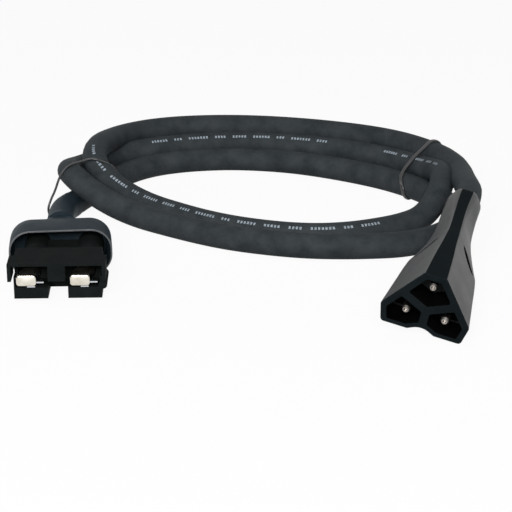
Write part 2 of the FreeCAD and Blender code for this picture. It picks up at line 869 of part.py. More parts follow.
def plug_wire(name, side):
    across = side * size("pin_spacing") / 2
    behind = size("cavity_depth") + size("carrier_length") + size("pin_barrel_length")
    apart = side * size("wire_spread") / 2
    low = size("pin_low")
    axis = size("axis_height")
    points = [
        spot(plug_place, across, behind, low),
        spot(plug_place, across, behind + size("wire_lead"), low),
        spot(plug_place, apart, size("wire_meeting"), axis),
        spot(plug_place, apart, size("jacket_start"), axis),
    ]
    return feature(f"plug_wire_{name}", round_run(points, size("wire_diameter"), f"plug wire {name}"))


def interlock_jumper(negative_pin):
    """The short wire that ties the third pin to the negative one."""
    behind = size("cavity_depth") + size("carrier_length") + size("pin_barrel_length")
    high = size("pin_high")
    low = size("pin_low")
    across = size("pin_spacing") / 2
    points = [
        spot(plug_place, 0, behind, high),
        spot(plug_place, 0, behind + 12, high),
        spot(plug_place, 5.4, behind + 12, high - 5),
        spot(plug_place, across, behind - 6, low + 1.2),
    ]
    run = feature("JumperRun", round_run(points, size("jumper_diameter"), "interlock jumper"))
    return cut_from("interlock_jumper", run, negative_pin)


# The tied coil, as one closed ring

def ellipse_prism(label, long, short, angle, middle_x, middle_y, bottom, height):
    ring = doc.addObject("Part::Ellipse", label + "Outline")
    ring.setExpression("MajorRadius", cell(long))
    ring.setExpression("MinorRadius", cell(short))
    ring.setExpression("Placement.Base.x", cell(middle_x))
    ring.setExpression("Placement.Base.y", cell(middle_y))
    ring.Placement.Base.z = worked(cell(bottom))
    ring.Placement.Rotation = FreeCAD.Rotation(FreeCAD.Vector(0, 0, 1), worked(cell(angle)))
    made = doc.addObject("Part::Extrusion", label)
    made.Base = ring
    made.DirMode = "Custom"
    made.Dir = FreeCAD.Vector(0, 0, 1)
    made.LengthFwd = worked(cell(height))
    made.Solid = True
    return made


def coil_block(label, more):
    """The ring that the turns fill, or the same ring grown by more on every side."""
    around = ("coil_long", "coil_short", "coil_angle", "coil_x", "coil_y")
    inside = ("coil_hole_long", "coil_hole_short", "coil_hole_angle", "coil_hole_x", "coil_hole_y")
    outer = ellipse_prism(
        label + "Outer", f"{around[0]} + {more}", f"{around[1]} + {more}", *around[2:],
        f"coil_lift - {more}", "coil_height + 20"
    )
    hole = ellipse_prism(
        label + "Hole", f"{inside[0]} - {more}", f"{inside[1]} - {more}", *inside[2:],
        "0 - 10", "coil_height + 40"
    )
    above = doc.addObject("Part::Box", label + "Above")
    above.Length = 300
    above.Width = 300
    above.Height = 40
    lean = FreeCAD.Rotation(FreeCAD.Vector(0, 1, 0), size("coil_tilt"))
    middle = FreeCAD.Vector(size("coil_x"), size("coil_y"), size("coil_height") + worked(cell(more)))
    above.Placement = FreeCAD.Placement(middle + lean.multVec(FreeCAD.Vector(-150, -150, 0)), lean)
    away = joined(label + "Away", [hole, above])
    block = cut_from(label + "Block", outer, away)
    doc.recompute()
    rounded = doc.addObject("Part::Chamfer", label)
    rounded.Base = block
    radius = size("coil_round") + worked(cell(more))
    rounded.Edges = [
        (number, radius, radius)
        for number, edge in enumerate(block.Shape.Edges, start=1)
        if abs(edge.Vertexes[0].Point.z - edge.Vertexes[-1].Point.z) < 0.5 and edge.Length > 100
    ]
    rounded.Label = label
    return rounded


def coil_tie(label, grown, ring, width, x, y, turn):
    """A band round the rear turns: a slice of the grown ring without the ring itself."""
    slab = doc.addObject("Part::Box", label + "Slab")
    slab.setExpression("Width", cell(width))
    slab.Length = 60
    slab.Height = 80
    facing = FreeCAD.Rotation(FreeCAD.Vector(0, 0, 1), worked(cell(turn)))
    corner = facing.multVec(FreeCAD.Vector(-30, -size(width) / 2, -20))
    slab.Placement = FreeCAD.Placement(FreeCAD.Vector(size(x), size(y), 0) + corner, facing)
    slice_of = doc.addObject("Part::Common", label + "Slice")
    slice_of.Base = grown
    slice_of.Tool = slab
    return cut_from(label, slice_of, ring)


def lead_of(label, points, ring, diameter="cable_diameter"):
    run = feature(label + "Run", round_run(points, size(diameter), label.replace("_", " ")))
    return cut_from(label, run, ring)


parts = {}
parts["plug_housing"] = plug_housing()
parts["pin_carrier"] = pin_carrier()
for name, (across, up) in PINS.items():
    parts[f"pin_{name}"] = charger_pin(name, across, up)
for name, side in (("positive", -1), ("negative", 1)):
    parts[f"plug_wire_{name}"] = plug_wire(name, side)
parts["interlock_jumper"] = interlock_jumper(parts["pin_negative"])

parts["connector_housing"] = connector_housing()
for name, side in (("positive", -1), ("negative", 1)):
    parts[f"contact_{name}"] = contact(name, side)
    parts[f"spring_{name}"] = spring(name, side)
    parts[f"connector_wire_{name}"] = connector_wire(name, side)

coil = coil_block("cable_coil", "0")
parts["cable_coil"] = coil
parts["connector_lead"] = lead_of("connector_lead", LEAD_ROUTE, coil)
parts["connector_boot"] = connector_boot()
plug_start = spot(plug_place, 0, size("jacket_start"), size("axis_height"))
plug_leaving = spot(plug_place, 0, 110, size("axis_height"))
PLUG_LEAD_ROUTE = [
    plug_start,
    plug_leaving,
    (92.7, 51.5, 19.6),
    (91.8, 65.8, 17.5),
    (87.5, 79.5, 15.0),
]
parts["plug_lead"] = lead_of("plug_lead", PLUG_LEAD_ROUTE, coil)
grown = coil_block("TieRoom", "coil_lift")
parts["coil_tie_right"] = coil_tie(
    "coil_tie_right", grown, coil, "band_width", "right_band_x", "right_band_y", "right_band_turn"
)
parts["coil_tie_left"] = coil_tie(
    "coil_tie_left", grown, coil, "thin_band_width", "left_band_x", "left_band_y", "left_band_turn"
)
doc.recompute()

for thing in doc.Objects:
    if "Invalid" in thing.State or "Error" in thing.State:
        raise RuntimeError(f"{thing.Label} did not build: {thing.State}")
os.makedirs("parts", exist_ok=True)
for label, thing in parts.items():
    shape = thing.Shape
    if shape.isNull() or not shape.isValid() or len(shape.Solids) != 1:
        raise RuntimeError(f"{label} is not one valid solid: {len(shape.Solids)} solids")
    shape.exportStep(f"parts/{label}.step")
print(f"{len(parts)} parts written")
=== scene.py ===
import math

import bmesh
import bpy
import numpy as np
from mathutils import Matrix, Vector


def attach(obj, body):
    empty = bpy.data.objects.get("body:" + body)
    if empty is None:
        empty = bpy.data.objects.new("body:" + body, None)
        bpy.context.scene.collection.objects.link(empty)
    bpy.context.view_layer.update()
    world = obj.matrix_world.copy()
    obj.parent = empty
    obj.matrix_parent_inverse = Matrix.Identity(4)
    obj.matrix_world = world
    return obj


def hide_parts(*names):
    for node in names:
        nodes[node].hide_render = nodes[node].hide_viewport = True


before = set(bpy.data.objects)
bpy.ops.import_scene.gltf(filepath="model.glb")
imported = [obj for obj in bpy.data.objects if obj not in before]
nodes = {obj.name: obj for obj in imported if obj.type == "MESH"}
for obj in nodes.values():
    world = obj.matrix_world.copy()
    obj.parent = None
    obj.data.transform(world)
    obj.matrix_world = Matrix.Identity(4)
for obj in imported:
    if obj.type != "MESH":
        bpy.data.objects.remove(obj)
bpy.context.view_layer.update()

# lengths are metres; the plug's and the connector's own forms are given in millimetres
CABLE = 0.0105
CABLE_RADIUS = CABLE / 2
CAMERA_PLACE = (0.0033, -0.6248, 0.2416)
CAMERA_DROP = 20.5
LENS, SENSOR = 120.0, 36.0
PLUG_PLACE = Vector((0.0615, -0.0660, 0.00355))
PLUG_YAW, PLUG_PITCH, PLUG_ROLL = -14.4, 3.0, 13.1
CONNECTOR_PLACE = Vector((-0.0709, -0.0336, 0.00175))
CONNECTOR_YAW, BOOT_YAW = 2.0, 6.0


# the photograph's camera

def make_camera():
    data = bpy.data.cameras.new("photo_camera")
    data.lens = LENS
    data.sensor_width = SENSOR
    data.clip_start, data.clip_end = 0.01, 20.0
    camera = bpy.data.objects.new("photo_camera", data)
    bpy.context.scene.collection.objects.link(camera)
    camera.location = CAMERA_PLACE
    camera.rotation_euler = (math.radians(90 - CAMERA_DROP), 0.0, 0.0)
    bpy.context.scene.camera = camera


make_camera()


# the cable's way, as control points of one smooth curve: out of the boot's sleeve
LEAD = [
    (-0.0773, 0.0414, 0.0086), (-0.0786, 0.0555, 0.0074), (-0.0754, 0.0695, 0.0058),
    (-0.0694, 0.0845, 0.0056), (-0.0618, 0.1020, 0.0055),
]
# lowest turn: along the back, round the right and back along the front
FIRST_BACK = [
    (-0.0530, 0.1180, 0.0054), (-0.0430, 0.1275, 0.0053), (-0.0315, 0.1328, 0.0053),
    (-0.0195, 0.1356, 0.0053), (-0.0070, 0.1366, 0.0053), (0.0080, 0.1348, 0.0053),
    (0.0230, 0.1305, 0.0053), (0.0380, 0.1230, 0.0053), (0.0515, 0.1145, 0.0053),
    (0.0630, 0.1055, 0.0053), (0.0730, 0.0945, 0.0053), (0.0815, 0.0810, 0.0053),
    (0.0880, 0.0660, 0.0053), (0.0885, 0.0500, 0.0053), (0.0830, 0.0360, 0.0053),
    (0.0735, 0.0260, 0.0053),
]
FIRST_FRONT = [
    (0.0620, 0.0202, 0.0053), (0.0500, 0.0186, 0.0053), (0.0360, 0.0180, 0.0053),
    (0.0214, 0.0192, 0.0053), (0.0060, 0.0234, 0.0053), (-0.0080, 0.0288, 0.0053),
    (-0.0210, 0.0364, 0.0053), (-0.0335, 0.0455, 0.0053), (-0.0455, 0.0540, 0.0056),
    (-0.0565, 0.0605, 0.0080), (-0.0660, 0.0655, 0.0122), (-0.0735, 0.0715, 0.0164),
    (-0.0780, 0.0820, 0.0168), (-0.0786, 0.0950, 0.0132), (-0.0760, 0.1075, 0.0104),
    (-0.0685, 0.1185, 0.0102),
]
# second turn, lying on the first and inside it along the front
SECOND_BACK = [
    (-0.0585, 0.1270, 0.0106), (-0.0465, 0.1348, 0.0106), (-0.0325, 0.1403, 0.0106),
    (-0.0190, 0.1436, 0.0106), (-0.0060, 0.1450, 0.0106), (0.0080, 0.1444, 0.0106),
    (0.0236, 0.1410, 0.0106), (0.0385, 0.1352, 0.0106), (0.0520, 0.1280, 0.0106),
    (0.0635, 0.1196, 0.0108), (0.0730, 0.1095, 0.0112), (0.0800, 0.0985, 0.0124),
    (0.0836, 0.0875, 0.0146), (0.0840, 0.0765, 0.0162), (0.0818, 0.0645, 0.0148),
    (0.0775, 0.0545, 0.0100), (0.0715, 0.0480, 0.0064),
]
SECOND_FRONT = [
    (0.0630, 0.0426, 0.0053), (0.0530, 0.0370, 0.0053), (0.0420, 0.0326, 0.0053),
    (0.0296, 0.0306, 0.0053), (0.0170, 0.0318, 0.0053), (0.0045, 0.0356, 0.0053),
    (-0.0078, 0.0410, 0.0053), (-0.0195, 0.0486, 0.0053), (-0.0300, 0.0574, 0.0053),
    (-0.0405, 0.0662, 0.0056), (-0.0505, 0.0730, 0.0080), (-0.0595, 0.0770, 0.0130),
    (-0.0660, 0.0825, 0.0186), (-0.0680, 0.0930, 0.0214), (-0.0665, 0.1060, 0.0214),
]
# top strand, along the back and down into the plug's grip
TOP_BACK = [
    (-0.0635, 0.1200, 0.0192), (-0.0585, 0.1345, 0.0172), (-0.0490, 0.1460, 0.0162),
    (-0.0355, 0.1522, 0.0160), (-0.0210, 0.1546, 0.0160), (-0.0070, 0.1550, 0.0160),
    (0.0080, 0.1534, 0.0160), (0.0240, 0.1498, 0.0160), (0.0390, 0.1448, 0.0160),
    (0.0540, 0.1382, 0.0160), (0.0675, 0.1296, 0.0160), (0.0780, 0.1180, 0.0160),
    (0.0858, 0.1054, 0.0162), (0.0900, 0.0925, 0.0166), (0.0916, 0.0795, 0.0170),
    (0.0914, 0.0658, 0.0179), (0.0913, 0.0515, 0.0196),
]


def plug_point(x, y, z):
    """a point of the plug's own axes (metres), in the part's frame"""
    turn = (Matrix.Rotation(math.radians(PLUG_YAW), 3, "Z") @ Matrix.Rotation(math.radians(PLUG_PITCH), 3, "X")
            @ Matrix.Rotation(math.radians(PLUG_ROLL), 3, "Y"))
    return PLUG_PLACE + turn @ Vector((x, y, z))


GRIP_ENTRY = [tuple(plug_point(0, 0.110, 0.0117)), tuple(plug_point(0, 0.082, 0.0117))]
ROUTE = [*LEAD, *FIRST_BACK, *FIRST_FRONT, *SECOND_BACK, *SECOND_FRONT, *TOP_BACK, *GRIP_ENTRY]


def smooth_curve(name, points, radius, closed=False):
    """a round NURBS curve; its bevel is 1 m and each point's radius scales that to the real one"""
    data = bpy.data.curves.new(name, "CURVE")
    data.dimensions = "3D"
    data.resolution_u = 10
    data.bevel_depth = 1.0
    data.bevel_resolution = 8
    data.use_fill_caps = not closed
    spline = data.splines.new("NURBS")
    spline.points.add(len(points) - 1)
    for point, place in zip(spline.points, points):
        point.co = (*place, 1.0)
        point.radius = radius
    spline.order_u = 3
    spline.use_endpoint_u = not closed
    spline.use_cyclic_u = closed
    obj = bpy.data.objects.new(name, data)
    bpy.context.scene.collection.objects.link(obj)
    return obj


def centreline(curve):
    """points along a curve, read from its own spline with no bevel"""
    depth, curve.data.bevel_depth = curve.data.bevel_depth, 0.0
    bpy.context.view_layer.update()
    evaluated = curve.evaluated_get(bpy.context.evaluated_depsgraph_get())
    mesh = bpy.data.meshes.new_from_object(evaluated)
    points = [Vector(v.co) for v in mesh.vertices]
    bpy.data.meshes.remove(mesh)
    curve.data.bevel_depth = depth
    bpy.context.view_layer.update()
    return points


def along_line(line):
    """how far along a line each of its points is"""
    lengths = [0.0]
    for a, b in zip(line, line[1:]):
        lengths.append(lengths[-1] + (b - a).length)
    return lengths


cable = smooth_curve("charging_cable", ROUTE, CABLE_RADIUS)
cable_line = centreline(cable)
print("cable length", round(along_line(cable_line)[-1], 4))
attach(cable, "root")
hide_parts("connector_lead", "cable_coil", "plug_lead")


# materials

def shader(name, dark, light, roughness, metallic=0.0, specular=0.5, coat=0.0, mottle=90.0, grain=1400.0,
           bump=0.15, rough_spread=0.08, depth=0.0002, streaks=None):
    """a procedural finish: two tones in soft patches, a fine grain as bump and a roughness that varies"""
    material = bpy.data.materials.new(name)
    material.use_nodes = True
    tree = material.node_tree
    tree.nodes.clear()
    new, link = tree.nodes.new, tree.links.new
    output = new("ShaderNodeOutputMaterial")
    surface = new("ShaderNodeBsdfPrincipled")
    link(surface.outputs["BSDF"], output.inputs["Surface"])
    surface.inputs["Metallic"].default_value = metallic
    surface.inputs["Specular IOR Level"].default_value = specular
    surface.inputs["Coat Weight"].default_value = coat
    surface.inputs["Coat Roughness"].default_value = 0.15
    place = new("ShaderNodeTexCoord")
    source = place.outputs["Object"]
    if streaks:
        stretch = new("ShaderNodeMapping")
        stretch.inputs["Scale"].default_value = streaks
        link(source, stretch.inputs["Vector"])
        source = stretch.outputs["Vector"]
    patches = new("ShaderNodeTexNoise")
    patches.inputs["Scale"].default_value = mottle
    patches.inputs["Detail"].default_value = 6.0
    patches.inputs["Roughness"].default_value = 0.6
    link(source, patches.inputs["Vector"])
    ramp = new("ShaderNodeValToRGB")
    ramp.color_ramp.elements[0].position = 0.3
    ramp.color_ramp.elements[0].color = (*dark, 1.0)
    ramp.color_ramp.elements[1].position = 0.72
    ramp.color_ramp.elements[1].color = (*light, 1.0)
    link(patches.outputs["Fac"], ramp.inputs["Fac"])
    link(ramp.outputs["Color"], surface.inputs["Base Color"])
    fine = new("ShaderNodeTexNoise")
    fine.inputs["Scale"].default_value = grain
    fine.inputs["Detail"].default_value = 3.0
    link(source, fine.inputs["Vector"])
    relief = new("ShaderNodeBump")
    relief.inputs["Strength"].default_value = bump
    relief.inputs["Distance"].default_value = depth
    link(fine.outputs["Fac"], relief.inputs["Height"])
    link(relief.outputs["Normal"], surface.inputs["Normal"])
    spread = new("ShaderNodeMapRange")
    spread.inputs["From Min"].default_value = 0.25
    spread.inputs["From Max"].default_value = 0.75
    spread.inputs["To Min"].default_value = roughness - rough_spread
    spread.inputs["To Max"].default_value = roughness + rough_spread
    link(patches.outputs["Fac"], spread.inputs["Value"])
    link(spread.outputs["Result"], surface.inputs["Roughness"])
    return material


def dress(obj, material):
    if obj.material_slots:
        for slot in obj.material_slots:
            slot.material = material
    else:
        obj.data.materials.append(material)


jacket = shader("cable_jacket", (0.024, 0.029, 0.032), (0.050, 0.057, 0.061), 0.60, specular=0.03, mottle=130.0,
                grain=1800.0, bump=0.25)
plug_plastic = shader("plug_plastic", (0.012, 0.013, 0.014), (0.018, 0.019, 0.020), 0.42, specular=0.25,
                      mottle=60.0, grain=2600.0, bump=0.12)
# painted shade: the plug's ridge is the body's plastic, made near black and less glossy to stand in for the shade on
# it
ridge_plastic_painted_shade = shader("ridge_plastic_painted_shade", (0.002, 0.004, 0.005), (0.006, 0.009, 0.010), 0.62, specular=0.01,
                       mottle=180.0, grain=1500.0, bump=0.3)
# painted shade: the plug's face is the body's plastic, made darker to stand in for the shade on it
face_plastic_painted_shade = shader("face_plastic_painted_shade", (0.005, 0.008, 0.009), (0.009, 0.012, 0.014), 0.55, specular=0.02,
                      mottle=180.0, grain=1500.0, bump=0.25)
# painted shade: the walls of the face's cavities and of the finger grooves are the body's plastic, made near black
# for the shade in these hollows
cavity_plastic_painted_shade = shader("cavity_plastic_painted_shade", (0.0008, 0.0008, 0.001), (0.002, 0.002, 0.0025), 0.7, specular=0.03,
                        bump=0.2)
# painted shade: the pin carrier at the back of the cavities is made near black like the cavity walls, for the shade
# deep in them
carrier_plastic_painted_shade = shader("carrier_plastic_painted_shade", (0.0008, 0.0008, 0.001), (0.002, 0.002, 0.0025), 0.7, specular=0.03,
                         bump=0.2)
pin_plating = shader("pin_plating", (0.24, 0.22, 0.20), (0.40, 0.38, 0.36), 0.32, metallic=1.0, bump=0.05)
red_wire = shader("red_wire", (0.28, 0.012, 0.010), (0.40, 0.03, 0.02), 0.45)
black_wire = shader("black_wire", (0.012, 0.012, 0.013), (0.022, 0.022, 0.024), 0.45)
hood_plastic = shader("hood_plastic", (0.008, 0.010, 0.010), (0.015, 0.017, 0.017), 0.6, specular=0.005,
                      mottle=120.0, grain=1500.0, bump=0.35)
contact_plating = shader("contact_plating", (0.62, 0.58, 0.48), (0.86, 0.83, 0.75), 0.34, metallic=1.0,
                         mottle=220.0, bump=0.12)
spring_steel = shader("spring_steel", (0.50, 0.52, 0.55), (0.70, 0.72, 0.75), 0.24, metallic=1.0, bump=0.05,
                      streaks=(1.0, 0.15, 1.0))
boot_rubber = shader("boot_rubber", (0.012, 0.020, 0.026), (0.020, 0.030, 0.038), 0.5, specular=0.03,
                     mottle=140.0, grain=1200.0, bump=0.3)
# painted highlight: the mouth's lip is the boot's rubber, made paler to stand in for the light caught on its front
# edge
lip_rubber_painted_highlight = shader("lip_rubber_painted_highlight", (0.05, 0.055, 0.06), (0.10, 0.105, 0.11), 0.5, mottle=200.0, bump=0.2)
tie_plastic = shader("tie_plastic", (0.010, 0.010, 0.011), (0.025, 0.025, 0.027), 0.38, bump=0.1)

NODE_FINISH = {
    "plug_housing": plug_plastic, "pin_carrier": carrier_plastic_painted_shade, "pin_positive": pin_plating,
    "pin_negative": pin_plating, "pin_interlock": pin_plating, "plug_wire_positive": red_wire,
    "plug_wire_negative": black_wire, "interlock_jumper": black_wire, "connector_housing": hood_plastic,
    "contact_positive": contact_plating, "contact_negative": contact_plating,
    "spring_positive": spring_steel, "spring_negative": spring_steel,
    "connector_wire_positive": red_wire, "connector_wire_negative": black_wire,
    "connector_boot": boot_rubber, "connector_lead": jacket, "cable_coil": jacket, "plug_lead": jacket,
    "coil_tie_right": tie_plastic, "coil_tie_left": tie_plastic,
}
for name, material in NODE_FINISH.items():
    dress(nodes[name], material)
dress(cable, jacket)


# shells: a solid skinned over rings of points, with flat walls that may have holes

class Skin:
    def __init__(self):
        self.shape = bmesh.new()

    def ring(self, points):
        return [self.shape.verts.new(p) for p in points]

    def join(self, first, second, material=0):
        """material is a slot's number, or one for each point of the ring"""
        count = len(first)
        for i in range(count):
            face = self.shape.faces.new((first[i], first[(i + 1) % count], second[(i + 1) % count], second[i]))
            face.material_index = material[i] if hasattr(material, "__len__") else material

    def loft(self, rings, material=0):
        for first, second in zip(rings, rings[1:]):
            self.join(first, second, material)

    def wall(self, outline, holes=(), material=0):
        edges = []
        for loop in (outline, *holes):
            for i in range(len(loop)):
                pair = (loop[i], loop[(i + 1) % len(loop)])
                edges.append(self.shape.edges.get(pair) or self.shape.edges.new(pair))
        made = bmesh.ops.triangle_fill(self.shape, edges=edges, use_beauty=True)
        for face in made["geom"]:
            if isinstance(face, bmesh.types.BMFace):
                face.material_index = material

    def finish(self, name, materials, sharp=38.0, slot=None):
        bmesh.ops.recalc_face_normals(self.shape, faces=self.shape.faces)
        limit = math.radians(sharp)
        for edge in self.shape.edges:
            edge.smooth = len(edge.link_faces) != 2 or edge.calc_face_angle() < limit
        for face in self.shape.faces:
            face.smooth = True
        mesh = bpy.data.meshes.new(name)
        self.shape.to_mesh(mesh)
        self.shape.free()
        for material in materials:
            mesh.materials.append(material)
        obj = bpy.data.objects.new(name, mesh)
        bpy.context.scene.collection.objects.link(obj)
        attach(obj, "root")
        return obj


def rounded_outline(corners, radii, arc=4, sides=8):
    """a closed outline with arcs at its corners and the same number of points whatever its size"""
    count = len(corners)
    if not hasattr(sides, "__len__"):
        sides = [sides] * count
    arcs = []
    for i in range(count):
        here, before, after = (Vector(corners[j % count]) for j in (i, i - 1, i + 1))
        back, on = (before - here), (after - here)
        half = back.angle(on) / 2
        reach = min(radii[i] / math.tan(half), 0.46 * back.length, 0.46 * on.length)
        radius = reach * math.tan(half)
        centre = here + (back.normalized() + on.normalized()).normalized() * (radius / math.sin(half))
        start, end = here + back.normalized() * reach - centre, here + on.normalized() * reach - centre
        turn = start.angle_signed(end)
        first = math.atan2(start.y, start.x)
        arcs.append([centre + Vector((math.cos(first - turn * k / arc), math.sin(first - turn * k / arc))) * radius
                     for k in range(arc + 1)])
    points = []
    for i in range(count):
        points += arcs[i]
        start, end = arcs[i][-1], arcs[(i + 1) % count][0]
        points += [start.lerp(end, k / sides[i]) for k in range(1, sides[i])]
    return points


def moved_in(points, inset):
    """an outline moved inwards along its own normals"""
    count = len(points)
    centre = sum(points, Vector((0, 0))) / count
    made = []
    for i in range(count):
        along = points[(i + 1) % count] - points[i - 1]
        normal = Vector((along.y, -along.x)).normalized()
        if normal.dot(points[i] - centre) < 0:
            normal = -normal
        made.append(points[i] - normal * inset)
    return made


def through(stations, values, at):
    """a value at a station, on a smooth curve through those given that never overshoots"""
    steps = [b - a for a, b in zip(stations, stations[1:])]
    slopes = [(d - c) / h for c, d, h in zip(values, values[1:], steps)]
    bends = [slopes[0]]
    for left, right in zip(slopes, slopes[1:]):
        bends.append(0.0 if left * right <= 0 else 2 * left * right / (left + right))
    bends.append(slopes[-1])
    k = max(0, min(len(steps) - 1, sum(1 for s in stations[1:-1] if at >= s)))
    t = (at - stations[k]) / steps[k]
    return ((2 * t ** 3 - 3 * t ** 2 + 1) * values[k] + (t ** 3 - 2 * t ** 2 + t) * steps[k] * bends[k]
            + (3 * t ** 2 - 2 * t ** 3) * values[k + 1] + (t ** 3 - t ** 2) * steps[k] * bends[k + 1])


# charger plug's shell: millimetres in the plug's own axes, y from the face to the cable

PLUG_STATIONS = [0, 20, 38.5, 46, 53.5, 60, 66, 73, 84, 92, 98.5]
PLUG_SIZES = {
    "width": [32.8, 29.6, 26.4, 22.8, 19.3, 16.8, 15.4, 15.0, 15.1, 15.2, 15.2],
    "foot": [29.6, 26.4, 23.2, 19.6, 15.6, 12.6, 10.6, 9.6, 9.0, 9.0, 9.0],
    "ridge": [23.0, 22.1, 21.2, 20.7, 20.1, 19.7, 19.4, 19.2, 18.9, 18.8, 18.8],
    "ridge_width": [8.2, 6.9, 5.2, 4.9, 4.7, 4.8, 5.1, 5.5, 6.3, 6.8, 7.0],
    "corner": [7.0, 7.15, 7.3, 7.7, 8.4, 9.1, 9.9, 10.9, 12.3, 12.9, 13.1],
    "lift": [0.0, 0.5, 1.0, 1.7, 2.6, 3.4, 3.9, 4.4, 4.9, 5.0, 5.0],
    "round": [1.4, 1.2, 1.2, 1.4, 1.9, 2.4, 3.0, 3.5, 4.3, 4.8, 5.0],
    "edge": [0.6, 0.6, 0.6, 0.8, 1.0, 1.2, 1.6, 2.2, 3.2, 3.8, 4.0],
    "drift": [0.0, 0.0, 0.0, 0.0, -0.1, -0.3, -0.5, -0.7, -0.9, -0.9, -0.9],
}
PLUG_END = 98.5
NOTCH_HALF, NOTCH_DEPTH, NOTCH_END, NOTCH_FADE = 4.6, 1.7, 30.0, 3.0
CAVITY_DEPTH, CAVITY_CORNER, CHAMBER_END, SHELL = 13.0, 0.8, 66.0, 1.9
BORE_RADIUS, BORE_HEIGHT, BORE_START = 5.3, 11.7, 80
FACE_BEVEL = 0.45
SIDES = [8, 26, 18, 22, 18, 26]


def plug_outline(station, inset=0.0):
    width, foot, ridge, ridge_width, corner, lift, soft, edge, drift = (
        through(PLUG_STATIONS, PLUG_SIZES[key], station)
        for key in ("width", "foot", "ridge", "ridge_width", "corner", "lift", "round", "edge", "drift"))
    corners = [(drift + x, z) for x, z in (
        (-ridge_width / 2, ridge), (ridge_width / 2, ridge), (width / 2, corner), (foot / 2, lift),
        (-foot / 2, lift), (-width / 2, corner))]
    points = rounded_outline(corners, [edge, edge, soft, soft, soft, soft], arc=4, sides=SIDES)
    if inset:
        points = moved_in(points, inset)
    return points


def notched(points, station):
    """the finger notch under the face"""
    fade = max(0.0, min(1.0, (NOTCH_END - station) / NOTCH_FADE))
    low = min(p.y for p in points)
    made = []
    for p in points:
        if p.y < low + 0.05 and abs(p.x) < NOTCH_HALF:
            p = Vector((p.x, p.y + NOTCH_DEPTH * fade * (1 - (p.x / NOTCH_HALF) ** 2)))
        made.append(p)
    return made


GROOVE_STATION, GROOVE_LENGTH, GROOVE_WIDTH, GROOVE_DEPTH = 42.5, 9.0, 6.0, 1.75
GROOVE_SHARE, GROOVE_SLANT = 0.58, 12.0


def grooved(points, station):
    """a slanted finger groove in each side face, with its depth at each point"""
    made, depths = [], []
    top, corner = (through(PLUG_STATIONS, PLUG_SIZES[key], station) for key in ("ridge", "corner"))
    wide, narrow = (through(PLUG_STATIONS, PLUG_SIZES[key], station) / 2 for key in ("width", "ridge_width"))
    side = Vector((wide - narrow, corner - top))
    for p in points:
        out = abs(p.x)
        share = Vector((out - narrow, p.y - top)).dot(side) / side.length_squared
        off = abs((out - narrow) * side.y - (p.y - top) * side.x) / side.length
        depth = 0.0
        if 0.02 < share < 0.98 and off < 1.2:
            lengthways = (share - GROOVE_SHARE) * side.length / (GROOVE_LENGTH / 2)
            across = (station - GROOVE_STATION + (share - GROOVE_SHARE) * GROOVE_SLANT) / (GROOVE_WIDTH / 2)
            fall = 1.0 - (lengthways ** 2 + across ** 2)
            if fall > 0:
                depth = GROOVE_DEPTH * min(1.0, fall * 2.2)
                normal = Vector((side.y, -side.x)).normalized()
                if normal.x < 0:
                    normal = -normal
                p = Vector((p.x - math.copysign(normal.x, p.x) * depth, p.y - normal.y * depth))
        made.append(p)
        depths.append(depth)
    return made, depths


def cavity_outlines():
    """the three cavities of the face, between ribs that meet in a Y"""
    half_rib, climb, lean = 1.655, 0.4663, 0.76875
    hub, inner, rise, roof, floor = 8.8, 13.247, 7.0, 20.8, 1.6

    def side(height):
        return inner - (height - rise) * lean

    def meets(start):
        across = (inner - (start - rise) * lean) / (1 + lean * climb)
        return across, start + across * climb

    above, below = hub + half_rib, hub - half_rib
    upper = [(0, above), meets(above), (side(roof), roof), (-side(roof), roof),
             (-meets(above)[0], meets(above)[1])]
    right = [(1.5, NOTCH_DEPTH + floor + 0.3), (5.8, floor), (12.8, floor), (side(rise - 1), rise - 1),
             meets(below), (1.5, below + 1.5 * climb)]
    left = [(-x, z) for x, z in reversed(right)]
    return upper, right, left


# slots of the plug's shell: the body's plastic, then painted-shade copies of it for the ridge, the face and the
# hollows
BODY, RIDGE, FACE, CAVITY = range(4)


def plug_ring(skin, points, station):
    return skin.ring([plug_point(p.x / 1000, station / 1000, p.y / 1000) for p in points])


def bore_points(outline):
    middle = Vector((0.0, BORE_HEIGHT))
    return [middle + (p - middle).normalized() * BORE_RADIUS for p in outline]


